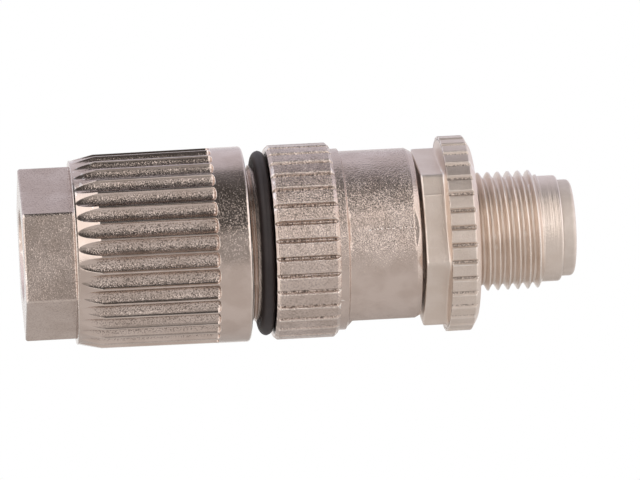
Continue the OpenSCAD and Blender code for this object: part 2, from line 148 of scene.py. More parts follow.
def zip_rings(a, b, phi_a, phi_b):
    """Triangles between two rings of vertex numbers with different counts."""
    shift = int(np.argmin(np.abs((phi_b - phi_a[0] + math.pi) % TURN - math.pi)))
    order = np.roll(np.arange(len(b)), -shift)
    b = np.asarray(b)[order]
    gap_a = np.append((phi_a - phi_a[0]) % TURN, TURN)
    gap_b = np.append((phi_b[order] - phi_b[order][0]) % TURN, TURN)
    faces, i, j = [], 0, 0
    while i < len(a) or j < len(b):
        if j == len(b) or (i < len(a) and gap_a[i + 1] <= gap_b[j + 1]):
            faces.append((a[i], a[(i + 1) % len(a)], b[j % len(b)]))
            i += 1
        else:
            faces.append((a[i % len(a)], b[(j + 1) % len(b)], b[j]))
            j += 1
    return faces


def ring_piece(name, blocks, body, material, nodes):
    """One closed piece from blocks of rings that run up its outside and back down its inside."""
    points, faces, ends = [], [], []
    first = 0
    for phi, r, z in blocks:
        points.append(np.stack([r * np.cos(phi), r * np.sin(phi), z], axis=-1).reshape(-1, 3))
        grid = first + np.arange(r.size).reshape(r.shape)
        first += r.size
        after = np.roll(grid, -1, axis=1)
        quads = np.stack([grid[:-1], after[:-1], after[1:], grid[1:]], axis=-1)
        faces += quads.reshape(-1, 4).tolist()
        ends.append((grid[0], phi[0], grid[-1], phi[-1]))
    for this, following in zip(ends, ends[1:] + ends[:1]):
        faces += zip_rings(this[2], following[0], this[3], following[1])
    mesh = bpy.data.meshes.new(name)
    mesh.from_pydata((np.concatenate(points) * MM).tolist(), [], [tuple(map(int, f)) for f in faces])
    mesh.shade_smooth()
    mesh.materials.append(material)
    piece = bpy.data.objects.new(name, mesh)
    bpy.context.scene.collection.objects.link(piece)
    piece.modifiers.new("even_shading", "WEIGHTED_NORMAL")
    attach(piece, body)
    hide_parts(*nodes)
    return piece


def soft_min(a, b, blend):
    """The smaller of two radii, with the edge where they cross rounded."""
    share = np.clip(0.5 + 0.5 * (b - a) / blend, 0, 1)
    return b * (1 - share) + a * share - blend * share * (1 - share)


def flat_radius(phi, distance, facing):
    """Radius of a flat at a distance from the axis that faces the given way, in degrees."""
    lean = np.cos(phi - math.radians(facing))
    least = 0.3
    return np.where(lean > least, distance / np.maximum(lean, least), UNCUT)


def hexagon_radius(phi, across, facing):
    """Radius of a hexagon with the given width across its flats, one of which faces the given way."""
    side = (phi - math.radians(facing) + TURN / 12) % (TURN / 6) - TURN / 12
    return across / 2 / np.cos(side)


def fade(value, start, end):
    """0 at start and before, 1 at end and after."""
    return np.clip((value - start) / (end - start), 0, 1)


def thread_radius(phi, z, crest_r, pitch, crest_z):
    """Radius of a right-hand 60 degree thread whose crest stands at height crest_z on the +X side."""
    flank = math.tan(math.radians(60))
    flat = pitch / 16
    depth = 0.61 * pitch
    root_blend = 0.12 * pitch
    along = (z - crest_z - pitch * phi / TURN) / pitch
    from_crest = np.abs(along - np.round(along)) * pitch
    sunk = np.maximum(from_crest - flat / 2, 0) * flank
    return crest_r - soft_min(sunk, depth, root_blend)


# ---------------------------------------------------------------- nodes of materials

def linear(code):
    """Linear colour with alpha from an sRGB hex code such as #D8C6BD."""
    parts = [int(code[i:i + 2], 16) / 255 for i in (1, 3, 5)]
    return [c / 12.92 if c <= 0.04045 else ((c + 0.055) / 1.055) ** 2.4 for c in parts] + [1.0]


def add(tree, kind, inputs=None, **settings):
    """Adds a node with its settings. Each input takes a value, or the output of another node."""
    made = tree.nodes.new(kind)
    for key, value in settings.items():
        setattr(made, key, value)
    for socket, value in (inputs or {}).items():
        if isinstance(value, bpy.types.NodeSocket):
            tree.links.new(value, made.inputs[socket])
        else:
            made.inputs[socket].default_value = value
    return made


def new_material(name):
    """A material with an empty tree, and its object coordinates in metres."""
    material = bpy.data.materials.new(name)
    material.use_nodes = True
    tree = material.node_tree
    tree.nodes.clear()
    place = add(tree, "ShaderNodeTexCoord").outputs["Object"]
    return material, tree, place


def close(tree, shader):
    """Ends a material with its surface shader."""
    add(tree, "ShaderNodeOutputMaterial", {"Surface": shader})


def noise(tree, place, size_mm, detail=2.0, roughness=0.5):
    """Height of a noise whose lumps are about size_mm across."""
    inputs = {"Vector": place, "Scale": 1 / (size_mm * MM), "Detail": detail, "Roughness": roughness}
    return add(tree, "ShaderNodeTexNoise", inputs).outputs["Fac"]


def between(tree, value, low, high, out_low=0.0, out_high=1.0):
    """Smoothly maps a value from low..high to out_low..out_high, held at its ends."""
    inputs = {"Value": value, "From Min": low, "From Max": high, "To Min": out_low, "To Max": out_high}
    return add(tree, "ShaderNodeMapRange", inputs, interpolation_type="SMOOTHSTEP").outputs["Result"]


def between_mm(tree, value, low, high, out_low=0.0, out_high=1.0):
    """Like between, for a length, with its limits in millimetres."""
    return between(tree, value, low * MM, high * MM, out_low, out_high)


def sums(tree, operation, a, b=0.0):
    """Two numbers joined by one operation, or one number changed by it."""
    return add(tree, "ShaderNodeMath", {0: a, 1: b}, operation=operation).outputs[0]


def product(tree, *factors):
    """The numbers multiplied together."""
    total = factors[0]
    for factor in factors[1:]:
        total = sums(tree, "MULTIPLY", total, factor)
    return total


def blended(tree, share, a, b):
    """Number between a and b by share."""
    return add(tree, "ShaderNodeMix", {0: share, 2: a, 3: b}).outputs[0]


def mixed(tree, share, a, b):
    """Colour between two colours by share. Each is a hex code or the output of another node."""
    inputs = {"Factor": share}
    for end, colour in (("A", a), ("B", b)):
        inputs[end] = linear(colour) if isinstance(colour, str) else colour
    made = add(tree, "ShaderNodeMix", data_type="RGBA")
    for socket in made.inputs:
        if socket.enabled and socket.name in inputs:
            value = inputs[socket.name]
            if isinstance(value, bpy.types.NodeSocket):
                tree.links.new(value, socket)
            else:
                socket.default_value = value
    return [s for s in made.outputs if s.enabled][0]


def clouded(tree, clouds, a, b, spread=0.15):
    """Colour that drifts between two with a noise, of which the middle is used, spread to either side."""
    return mixed(tree, between(tree, clouds, 0.5 - spread, 0.5 + spread), a, b)


def tool_rings(tree, along, apart_mm, detail):
    """Height of the rings that a turning tool leaves, about apart_mm apart."""
    inputs = {"W": along, "Scale": 1 / (apart_mm * MM), "Detail": detail}
    return add(tree, "ShaderNodeTexNoise", inputs, noise_dimensions="1D").outputs["Fac"]


def relief(tree, strength, depth_mm, height):
    """Direction of a surface with a fine relief, too small to model."""
    inputs = {"Strength": strength, "Distance": depth_mm * MM, "Height": height}
    return add(tree, "ShaderNodeBump", inputs).outputs["Normal"]


def surface(tree, tint, roughness, direction, **inputs):
    """Ends a material with one shader for its tint, roughness, relief and further inputs."""
    inputs.update({"Base Color": tint, "Roughness": roughness, "Normal": direction})
    close(tree, add(tree, "ShaderNodeBsdfPrincipled", inputs).outputs[0])


def radius_of(tree, place):
    """Distance of a point from the plug's axis, and its height."""
    axes = add(tree, "ShaderNodeSeparateXYZ", {0: place}).outputs
    flat = add(tree, "ShaderNodeCombineXYZ", {"X": axes["X"], "Y": axes["Y"]}).outputs[0]
    return add(tree, "ShaderNodeVectorMath", {0: flat}, operation="LENGTH").outputs["Value"], axes["Z"]


def edge_highlighted(tree, colour):
    """The colour of a plated piece, with a painted highlight along its outer edges."""
    # Pointiness is 0.5 on a flat face and more on an edge
    edges = add(tree, "ShaderNodeNewGeometry").outputs["Pointiness"]
    # Painted highlight: the colour turns near white where the surface turns sharply
    return mixed(tree, between(tree, edges, 0.51, 0.56, 0.0, 0.85), colour, EDGE_HIGHLIGHT)


def cap_grain(tree, place):
    """Strength of the cap's grain, how much painted shade darkens its pits, and where only sparse grains
    stand out.

    The grain is full in the flutes, less on the hexagon, and weak on the rubbed lands between the flutes.
    """
    hex_strength, hex_pit_shading = 0.85, 0.8
    r, height = radius_of(tree, place)
    crest = add(tree, "ShaderNodeMapRange", {
        "Value": height, "From Min": LEAD_START * MM, "From Max": LEAD_END * MM,
        "To Min": LAND_R * MM, "To Max": CAP_R * MM}).outputs[0]
    sunk = sums(tree, "SUBTRACT", crest, r)
    fluted = between_mm(tree, height, HEX_LEN, LEAD_START)
    walls = between_mm(tree, sunk, 0.06, 0.3, 0.2, 1.3)
    # Painted shade, stronger towards the floors of the flutes
    floor_shade = between_mm(tree, sunk, 0.15, 0.4, 0.0, 2.6)
    sparse = between_mm(tree, height, FLUTE_END, FLUTE_END + 0.05)
    return blended(tree, fluted, hex_strength, walls), blended(tree, fluted, hex_pit_shading, floor_shade), sparse


def housing_grain(tree, place):
    """Strength of the housing's grain, how much painted shade darkens its pits, and that its grains are
    sparse nowhere.

    The grain is stronger on the knurl, and weak on the neck, the spigot and the bevels beside them. Only the
    knurl, more towards the floors of its grooves, and the line where the mould parted get painted shade in
    their pits.
    """
    bevel, soft = 0.25, 0.15
    bevel_strength, knurl_gain = 0.3, 0.4
    knurl_low, knurl_high = KNURL_START + bevel, KNURL_END - bevel
    foot_r, wall_r, crest_r = KNURL_R - 0.525, KNURL_R - 0.225, KNURL_R - 0.125
    front = BARREL_END - FRONT_LEN
    r, height = radius_of(tree, place)
    axes = add(tree, "ShaderNodeSeparateXYZ", {0: place}).outputs
    around = sums(tree, "ARCTAN2", axes["Y"], axes["X"])
    off = sums(tree, "ABSOLUTE", sums(tree, "SUBTRACT", around, math.radians(SEAM_FACING - 360)))
    # Painted shade darkens the pits along the line where the mould parted. The line is about 0.1 mm wide to
    # either side, as an angle in radians
    line = product(tree, between(tree, off, 0.008, 0.016, 2.6, 0.0),
                   between_mm(tree, height, SEAM_START, SEAM_START + 0.5))
    knurl = product(tree, between_mm(tree, height, knurl_low, knurl_low + soft),
                    between_mm(tree, height, knurl_high - soft, knurl_high, 1.0, 0.0),
                    between_mm(tree, r, foot_r - 0.1, foot_r))
    # Painted shade, stronger towards the floors of the knurl's grooves
    floor_shade = between_mm(tree, r, wall_r, crest_r, 4.0, 1.2)
    rim = product(tree, between_mm(tree, height, knurl_low, knurl_low + soft, bevel_strength, 1.0),
                  between_mm(tree, height, front - 0.2, front, 1.0, bevel_strength))
    strength = product(tree, rim, sums(tree, "ADD", product(tree, knurl, knurl_gain), 1.0))
    return strength, sums(tree, "MAXIMUM", line, product(tree, knurl, floor_shade)), 0.0


def cast_nickel(name, grain_mm, slope, pits, roughness, grain):
    """Nickel plate over a zinc casting, which keeps the sandy skin of the mould as a grain, with painted
    shade in its pits.

    slope is the steepness of the grain, and pits how much painted shade shows in the deepest pit. grain is a
    function for the grain's strength, how much painted shade darkens its pits and where it is sparse.
    """
    material, tree, place = new_material(name)
    sand = noise(tree, place, grain_mm, 1.5, 0.55)
    # Patches of stronger and weaker grain, a few millimetres across
    patches = between(tree, noise(tree, place, 3.0), 0.3, 0.7, 0.7, 1.0)
    strength, pit_shading, sparse = grain(tree, place)
    dense = product(tree, patches, strength, sand)
    # Where it is sparse, only the highest grains stand out of a smooth ground
    lumps = between(tree, sand, 0.5, 0.72, 0.0, 0.16)
    direction = relief(tree, 1.0, slope * grain_mm, blended(tree, sparse, dense, lumps))
    # Painted highlight along the outer edges, over the cast tint
    clean = edge_highlighted(tree, clouded(tree, noise(tree, place, 2.5, 3.0), "#CFBFB5", "#DACBC2"))
    # Painted shade darkens the pits of the grain, and more so in the floors of grooves
    shaded_pits = product(tree, patches, pit_shading, between(tree, sand, 0.3, 0.56, pits, 0.0))
    surface(tree, mixed(tree, shaded_pits, clean, PIT_SHADE), roughness, direction, Metallic=1.0)
    return material


def turned_nickel(name, z_turned):
    """Nickel plate over brass: satin on the pressed flange, and with rings from the tool above z_turned."""
    material, tree, place = new_material(name)
    r, along = radius_of(tree, place)
    # Tool marks are about 0.05 mm apart, drawn at 0.12 mm so that they show
    rings = tool_rings(tree, along, 0.12, 2.0)
    turned = between_mm(tree, along, z_turned, z_turned + 0.1, 0.15, 1.6)
    satin = between_mm(tree, along, z_turned, z_turned + 0.1, 0.42, 0.34)
    grain = noise(tree, place, 0.2, 2.0, 0.6)
    direction = relief(tree, 0.4, 0.1, sums(tree, "ADD", product(tree, rings, turned), grain))
    # Painted highlight along the outer edges, over the turned tint
    clean = edge_highlighted(tree, clouded(tree, noise(tree, place, 2.0, 3.0), "#E4D6CB", "#EADDD3"))
    # Painted shade as fine dark specks in the floors of the flange's grooves
    floor_r = FLANGE_R - RIB_DEPTH
    groove = product(tree, between_mm(tree, r, floor_r - 0.075, floor_r - 0.025, 0.0, 0.6),
                     between_mm(tree, r, floor_r + 0.075, floor_r + 0.175, 1.0, 0.08),
                     between_mm(tree, along, BEVEL_START - 0.05, BEVEL_START, 1.0, 0.0))
    groove_shade_specks = product(tree, between(tree, noise(tree, place, 0.16, 1.5), 0.42, 0.65, 1.0, 0.0), groove)
    surface(tree, mixed(tree, groove_shade_specks, clean, PIT_SHADE), satin, direction, Metallic=1.0)
    return material


def bead_blasted_nickel(name):
    """Nickel plate over a drawn brass sleeve, blasted to a soft even satin with faint cloudy patches."""
    material, tree, place = new_material(name)
    direction = relief(tree, 0.25, 0.04, noise(tree, place, 0.15, 2.0))
    tint = clouded(tree, noise(tree, place, 1.6, 3.0, 0.6), "#E3D9D1", "#EAE1DA")
    surface(tree, tint, 0.65, direction, Metallic=1.0)
    return material


def steel(name):
    """Zinc-plated steel of the washer, rings and small screws: greyish, with a faint satin."""
    material, tree, place = new_material(name)
    direction = relief(tree, 0.3, 0.03, noise(tree, place, 0.2, 3.0))
    tint = clouded(tree, noise(tree, place, 1.5), "#A9A6A1", "#BDBAB5", 0.2)
    surface(tree, tint, 0.35, direction, Metallic=1.0)
    return material


def gold(name):
    """Hard gold plate over turned brass pins: smooth and bright, with faint rings from the tool."""
    material, tree, place = new_material(name)
    along = add(tree, "ShaderNodeSeparateXYZ", {0: place}).outputs["Z"]
    direction = relief(tree, 0.2, 0.02, tool_rings(tree, along, 0.15, 1.0))
    tint = mixed(tree, noise(tree, place, 0.8), "#E0B45C", "#E8C070")
    surface(tree, tint, 0.22, direction, Metallic=1.0)
    return material


def nitrile(name):
    """Moulded nitrile rubber: near black with a brown cast, a dull sheen and a very fine matt skin."""
    material, tree, place = new_material(name)
    direction = relief(tree, 0.4, 0.03, noise(tree, place, 0.14, 2.0))
    tint = clouded(tree, noise(tree, place, 1.2, 3.0), "#271F1F", "#2F2626", 0.2)
    surface(tree, tint, 0.55, direction, Metallic=0.0, IOR=1.52)
    return material


def nylon(name):
    """Glass-filled nylon, moulded black: an even satin with a faint mottle from the glass fibres."""
    material, tree, place = new_material(name)
    fibres = add(tree, "ShaderNodeMapping", {"Vector": place, "Scale": (1.0, 1.0, 0.3)}).outputs[0]
    direction = relief(tree, 0.3, 0.03, noise(tree, fibres, 0.2, 2.0))
    tint = clouded(tree, noise(tree, fibres, 0.5, 2.0), "#232325", "#2E2E31")
    surface(tree, tint, 0.42, direction, Metallic=0.0, IOR=1.53)
    return material


# ---------------------------------------------------------------- clamp nut

HEX_AF = 14.8
HEX_FACING = 32.9
HEX_R = 8.5
HEX_LEN = 5.0
LAND_R = 9.075
LEAD_START = 5.25
LEAD_END = 7.45
CAP_R = 9.575
FLUTES = 36
FLUTE_TURN = 8.4
FLUTE_END = 18.95
FLUTE_DEPTH = 0.5
FLUTE_CREST = 0.17


def make_clamp_nut(material):
    """Cap with its spanner hexagon, conical lead-in, round flutes and plain collar."""
    base, rim, _ = reach("clamp_nut")
    collar_r, mouth_r, foot_bevel = 9.675, 5.0, 0.15
    thread_r, shoulder, ring_r = 7.86, 11.75, 6.6
    cone_start, cone_end, entry_r = 3.0, 7.0, 4.3
    # Half a flute's angle: at its narrowest, at its widest, and for the columns on the hexagon
    least_edge, most_edge, plain_edge = 0.006, 0.079, 0.058
    chord = TURN * CAP_R / FLUTES - FLUTE_CREST
    flute_r = ((chord / 2) ** 2 + FLUTE_DEPTH ** 2) / (2 * FLUTE_DEPTH)
    axis_r = CAP_R - FLUTE_DEPTH + flute_r
    ramp = FLUTE_END - 0.32

    rows = rounded([
        (mouth_r, base), (HEX_R, base, 0.18), (HEX_R, HEX_LEN, 0.1), (LAND_R, HEX_LEN, 0.1),
        (LAND_R, LEAD_START, 0.06), (CAP_R, LEAD_END, 0.3), (collar_r, rim, 0.28), (8.4, rim)])
    rows = refine(rows, base + 0.05, base + 0.5, 0.08)
    rows = refine(rows, LEAD_START, LEAD_END + 0.2, 0.08)
    rows = refine(rows, ramp - 0.1, FLUTE_END + 0.1, 0.035)

    def cutter(z):
        """Radius of the tool that cuts the flutes, which shrinks along their rounded end."""
        along = np.clip((z - ramp) / (FLUTE_END - ramp), 0, 1)
        return flute_r - FLUTE_DEPTH * (1 - np.sqrt(1 - along ** 2))

    r, z = (np.array(v) for v in zip(*rows))
    cos_edge = (axis_r ** 2 + r ** 2 - cutter(z) ** 2) / (2 * axis_r * r)
    edge = np.clip(np.arccos(np.clip(cos_edge, -1, 1)), least_edge, most_edge)
    edge[z < LEAD_START] = plain_edge
    phi = toothed(FLUTES, FLUTE_TURN, edge)
    plain = int(np.argmax(z > FLUTE_END + 0.03))

    def shape(phi, r, z):
        """The hexagon with its bevelled foot, and the flutes above it."""
        side = (phi - math.radians(FLUTE_TURN) + math.pi / FLUTES) % (TURN / FLUTES) - math.pi / FLUTES
        inside = cutter(z) ** 2 - (axis_r * np.sin(side)) ** 2
        flute = axis_r * np.cos(side) - np.sqrt(np.maximum(inside, 0))
        fluted = soft_min(r, np.where(inside > 0, flute, UNCUT), 0.025)
        hexagon = soft_min(HEX_R, hexagon_radius(phi, HEX_AF, HEX_FACING), 0.05)
        share = fade(r, mouth_r, HEX_R - 0.2) * (1 - fade(r, HEX_R, LAND_R))
        foot = HEX_R - foot_bevel + np.maximum(z - base, 0)
        hexed = soft_min(r - share * (HEX_R - hexagon), foot, 0.05)
        return np.where(z < LEAD_START, hexed, fluted)

    inner = rounded([
        (8.2, rim), (thread_r, rim - 0.3, 0.1), (thread_r, shoulder, 0.1), (ring_r, shoulder, 0.1),
        (ring_r, cone_end, 0.2), (entry_r, cone_start, 0.2), (entry_r, 0.3, 0.1), (4.7, base, 0.08),
        (4.9, base)])
    blocks = [
        block(rows[:plain], phi[:plain], shape),
        block(rows[plain:], even(288)),
        block(inner, even(120)),
    ]
    return ring_piece(
        "clamp_nut_shell", blocks, "clamp_nut", material, ["clamp_nut"])


# ---------------------------------------------------------------- housing

KNURLS = 34
KNURL_TURN = 5.1
KNURL_START = 24.45
KNURL_END = 30.75
KNURL_R = 9.625
KNURL_DEPTH = 0.38
KNURL_WIDTH = 0.62
BARREL_END = 38.85
# Bevel at the front of the barrel: its length, and how far it goes in
FRONT_LEN = 0.55
FRONT_IN = 0.3
SEAM_FACING = 265.0
SEAM_START = 33.4


def notch_radius(phi, count, turn, crest_r, depth, width):
    """Radius of grooves spread evenly round a cylinder, with a round bottom and round lips."""
    side = (phi - math.radians(turn) + math.pi / count) % (TURN / count) - math.pi / count
    across = np.minimum(np.abs(side) * crest_r / (width / 2), 1)
    return crest_r - depth * (0.5 + 0.5 * np.cos(math.pi * across))


def notch_edges(rows, crest_r, depth, width):
    """Half-angle of a groove where each row meets it."""
    r = np.array([row[0] for row in rows])
    return np.clip((r - (crest_r - depth)) / depth, 0.15, 1.0) * width / 2 / crest_r


def make_housing(material):
    """Neck with its fine thread, knurled ring, collar, barrel with two flats, and spigot."""
    neck_end, spigot_end, _ = reach("housing")
    collar_r, barrel_start, barrel_r = 8.98, 31.6, 8.7
    wide_flat, wide_facing = 8.12, 0.0
    narrow_flat, narrow_facing = 8.48, 266.0
    flash_height, flash_width = 0.2, 0.09
    neck_r, neck_pitch, neck_crest, neck_bore_r = 7.8, 0.75, 22.4, 6.3
    groove_r, groove_start = 7.5, 22.8
    core_r, core_start, core_end = 5.9, 22.0, 38.05
    spigot_r, spigot_bore_r = 6.0, 4.805
    retainer_start, retainer_end, retainer_r = 42.15, 42.95, 5.6
    wall_slope = math.tan(math.radians(30))
    front = BARREL_END - FRONT_LEN

    neck = rounded([
        (6.7, neck_end), (neck_r, neck_end, 0.1), (neck_r, groove_start, 0.06),
        (groove_r, groove_start, 0.05), (groove_r, KNURL_START, 0.1), (neck_r, KNURL_START)])
    neck = refine(neck, neck_end, groove_start, 0.075)

    def threaded(phi, r, z):
        """The neck's thread, which fades out at both ends."""
        thread = thread_radius(phi, z, neck_r, neck_pitch, neck_crest)
        ends = fade(z, neck_end + 0.1, neck_end + 0.7) * (1 - fade(z, groove_start - 0.15, groove_start))
        return np.where(r > groove_r + 0.2, np.minimum(r, neck_r + (thread - neck_r) * ends), r)

    knurl = rounded([
        (8.4, KNURL_START), (KNURL_R - 0.3, KNURL_START, 0.12), (KNURL_R, KNURL_START + 0.35, 0.15),
        (KNURL_R, KNURL_END - 0.35, 0.15), (KNURL_R - 0.3, KNURL_END, 0.08), (9.12, KNURL_END)])
    edges = notch_edges(knurl, KNURL_R, KNURL_DEPTH, KNURL_WIDTH)

    def notched(phi, r, z):
        """The grooves of the knurl, which run its whole length."""
        groove = notch_radius(phi, KNURLS, KNURL_TURN, KNURL_R, KNURL_DEPTH, KNURL_WIDTH)
        return np.minimum(r, groove)

    barrel = rounded([
        (9.05, KNURL_END), (collar_r, KNURL_END + 0.05, 0.02), (collar_r, barrel_start, 0.06),
        (barrel_r, barrel_start + 0.16, 0.08), (barrel_r, front, 0.15),
        (barrel_r - FRONT_IN, BARREL_END, 0.1), (6.8, BARREL_END)])
    barrel = refine(barrel, barrel_start - 0.3, barrel_start + 1.2, 0.07)
    barrel = refine(barrel, barrel_start + 1.2, BARREL_END, 0.075)

    def flattened(phi, r, z):
        """The barrel's two flats, with a slanted wall behind each, and its flash."""
        wall = collar_r - (z - barrel_start) / wall_slope
        bevel = np.maximum(z - front, 0) * FRONT_IN / FRONT_LEN
        narrow = flat_radius(phi, np.maximum(wall, narrow_flat), narrow_facing)
        wide = flat_radius(phi, np.maximum(wall, wide_flat) - bevel, wide_facing)
        r = soft_min(soft_min(r, narrow, 0.05), wide, 0.05)
        # Flash left where the two halves of the mould met, in uneven beads about 0.45 mm apart, with gaps
        off = (phi - math.radians(SEAM_FACING)) * barrel_r
        beads = np.maximum(np.sin(z * 14.0 + 1.5 * np.sin(z * 3.1)), 0) * (np.sin(z * 5.3) > -0.6)
        flash = flash_height * np.exp(-(off / flash_width) ** 2) * (0.1 + 0.9 * beads)
        ends = fade(z, SEAM_START, SEAM_START + 0.6) * (1 - fade(z, BARREL_END - 0.8, BARREL_END - 0.5))
        return r + flash * ends

    spigot = rounded([
        (6.6, BARREL_END), (spigot_r, BARREL_END, 0.05), (spigot_r, retainer_start),
        (retainer_r, retainer_start), (retainer_r, retainer_end), (spigot_r, retainer_end),
        (spigot_r, spigot_end, 0.1), (5.2, spigot_end)])
    inner = rounded([
        (5.1, spigot_end), (spigot_bore_r, spigot_end, 0.08), (spigot_bore_r, core_end),
        (core_r, core_end, 0.1), (core_r, core_start), (neck_bore_r, core_start, 0.05),
        (neck_bore_r, neck_end, 0.1), (6.6, neck_end)])
    # Extra columns carry the flash
    seam = np.array([-0.023, -0.016, -0.01, -0.005, 0.001, 0.006, 0.011, 0.017, 0.024])
    columns = np.sort(np.append(even(330), math.radians(SEAM_FACING) + seam))
    blocks = [
        block(neck, even(144), threaded),
        block(knurl, toothed(KNURLS, KNURL_TURN, edges), notched),
        block(barrel, columns, flattened),
        block(spigot, even(96)),
        block(inner, even(96)),
    ]
    return ring_piece("housing_shell", blocks, "housing", material, ["housing"])


# ---------------------------------------------------------------- locking screw

RIBS = 35
RIB_TURN = 9.9
RIB_DEPTH = 0.35
RIB_WIDTH = 0.7
LOCK_AF = 15.95
LOCK_FACING = 258.7
# Distance of the dies' line from the middle of the flat at LOCK_FACING
PARTING = 2.3
FLANGE_R = 9.675
BEVEL_START = 44.05
THREAD_START = 44.6


def make_locking_screw(material):
    """Hexagon and knurled flange, then the mating thread and its pilot."""
    lock_start, lock_end, _ = reach("locking_screw")
    corner_r, back_start, cove_start, flange_start = 9.125, 41.1, 41.35, 41.7
    crest_r, pitch, first_crest, thread_end = 5.9, 1.0, 45.03, 51.38
    pilot_start, pilot_r = 51.7, 5.255
    bore_r, step = 4.855, 43.95
    spigot_r, groove_r, groove_start, groove_end = 6.08, 6.55, 42.05, 43.05
    # Half a groove's angle for the columns on the hexagon
    plain_edge = 0.03

    flange = rounded([
        (6.6, lock_start), (corner_r, lock_start, 0.2), (corner_r, back_start),
        (FLANGE_R, flange_start, 0.1), (FLANGE_R, BEVEL_START, 0.16),
        (FLANGE_R - 0.95, THREAD_START, 0.2), (6.4, THREAD_START)])
    flange = refine(flange, back_start - 0.2, flange_start, 0.05)
    flange = refine(flange, BEVEL_START, THREAD_START, 0.08)
    edges = notch_edges(flange, FLANGE_R, RIB_DEPTH, RIB_WIDTH)
    edges[np.array([z < back_start for r, z in flange])] = plain_edge

    def flanged(phi, r, z):
        """The hexagon, the cove that widens it to the flange, and the flange's grooves."""
        # The forging dies part across two flats, and above their line the flat has more draft
        across = np.tan(np.clip(math.radians(LOCK_FACING) - phi, -0.6, 0.6)) * LOCK_AF / 2
        above = across - PARTING
        ragged = 0.6 + 0.4 * np.sin(z * 17.0) * np.sin(z * 41.0)
        flash = 0.06 * np.exp(-(above / 0.06) ** 2) * ragged * (z < back_start)
        drafted = hexagon_radius(phi, LOCK_AF, LOCK_FACING) - np.maximum(above, 0) * 0.14 + flash
        hexagon = soft_min(corner_r, drafted, 0.05)
        share = fade(r, 6.6, corner_r - 0.2)
        hexed = r - share * (corner_r - hexagon)
        rise = np.clip((z - cove_start) / (flange_start - cove_start), 0, 1)
        cove = hexagon + (FLANGE_R - hexagon) * (1 - np.sqrt(1 - rise ** 2))
        turned = np.where(z < flange_start, np.minimum(cove, FLANGE_R), r)
        groove = notch_radius(phi, RIBS, RIB_TURN, FLANGE_R, RIB_DEPTH, RIB_WIDTH)
        outside = np.where(z < back_start, hexed, turned)
        return np.where(z > back_start, np.minimum(outside, groove), outside)

    stud = rounded([
        (6.2, THREAD_START), (crest_r, THREAD_START, 0.02), (crest_r, pilot_start),
        (pilot_r, pilot_start + 0.02), (pilot_r, lock_end, 0.25), (5.0, lock_end)])
    stud = refine(stud, THREAD_START, pilot_start, 1 / 16)

    def threaded(phi, r, z):
        """The mating thread, which runs out just before the pilot."""
        thread = thread_radius(phi, z, crest_r, pitch, first_crest)
        runout = pilot_r + np.maximum(thread_end - z, 0) * 1.6
        cut = soft_min(soft_min(thread, runout, 0.05), r, 0.01)
        on_thread = (z > THREAD_START + 0.02) & (z < pilot_start + 0.01)
        return np.where(on_thread, np.maximum(cut, pilot_r), r)

    inner = rounded([
        (4.95, lock_end), (bore_r, lock_end - 0.1), (bore_r, step), (spigot_r, step),
        (spigot_r, groove_end), (groove_r, groove_end), (groove_r, groove_start),
        (spigot_r, groove_start), (spigot_r, lock_start + 0.15), (6.25, lock_start)])
    # Extra columns carry the line where the dies part
    parted = math.radians(LOCK_FACING) - math.atan(PARTING / (LOCK_AF / 2))
    line = parted + np.array([-0.012, -0.006, 0, 0.006, 0.012])
    columns = toothed(RIBS, RIB_TURN, edges)
    columns = np.sort(np.hstack([columns, np.broadcast_to(line, (len(columns), len(line)))]), axis=1)
    blocks = [
        block(flange, columns, flanged),
        block(stud, even(168), threaded),
        block(inner, even(96)),
    ]
    return ring_piece(
        "locking_screw_shell", blocks, "locking_screw", material, ["locking_screw"])


# ---------------------------------------------------------------- seal and sleeve

def make_housing_seal(material):
    """Ring seal, round in section, a little flattened where it sits in its groove."""
    low, high, _ = reach("housing_seal")
    section = (high - low) / 2
    squeezed = section - 0.12
    middle_r, middle_z = 8.33, high - squeezed
    around = np.arange(32) * TURN / 32
    rows = [(middle_r + section * math.cos(a), middle_z + squeezed * math.sin(a)) for a in around]
    # Hairline of flash left by the mould round the outside
    rows = [(r + 0.02 * math.exp(-((z - middle_z) / 0.03) ** 2) * (r > middle_r), z) for r, z in rows]
    blocks = [block(rows, even(200))]
    return ring_piece("ring_seal", blocks, "housing", material, ["housing_seal"])


def make_shield_sleeve(material):
    """Sleeve round the contacts, with a rolled front edge."""
    low, high, flange_r = reach("shield_sleeve")
    outer_r, bore_r, flange_end = 4.775, 4.275, 38.0
    outside = rounded([
        (bore_r + 0.3, low), (flange_r, low, 0.08), (flange_r, flange_end, 0.08),
        (outer_r, flange_end, 0.05), (outer_r, high, 0.38), (bore_r + 0.08, high)])
    inside = rounded([
        (bore_r + 0.05, high), (bore_r, high - 0.06, 0.04), (bore_r, low + 0.05, 0.03),
        (bore_r + 0.1, low)])
    blocks = [block(outside, even(160)), block(inside, even(120))]
    return ring_piece(
        "shield_sleeve_shell", blocks, "housing", material, ["shield_sleeve"])


# ---------------------------------------------------------------- studio

def make_camera():
    """Camera aimed at the plug's middle from a little below its base, rolled so that the axis lies across."""
    data = bpy.data.cameras.new("camera")
    data.sensor_width = 36.0
    data.lens = 329.0
    data.clip_start = 0.01
    data.clip_end = 10.0
    target = Vector((0, 0, 0.02958))
    distance = 0.579
    yaw = math.radians(5.0)
    tilt = math.radians(2.95)
    back = Vector((0, -math.cos(yaw), -math.sin(yaw)))
    along = (Vector((0, 0, 1)) - back * back.z).normalized()
    across = back.cross(along)
    right = along * math.cos(tilt) - across * math.sin(tilt)
    up = along * math.sin(tilt) + across * math.cos(tilt)
    turned = Matrix((right, up, back)).transposed().to_4x4()
    camera = bpy.data.objects.new("camera", data)
    camera.matrix_world = Matrix.Translation(target + back * distance) @ turned
    bpy.context.scene.collection.objects.link(camera)
    bpy.context.scene.camera = camera


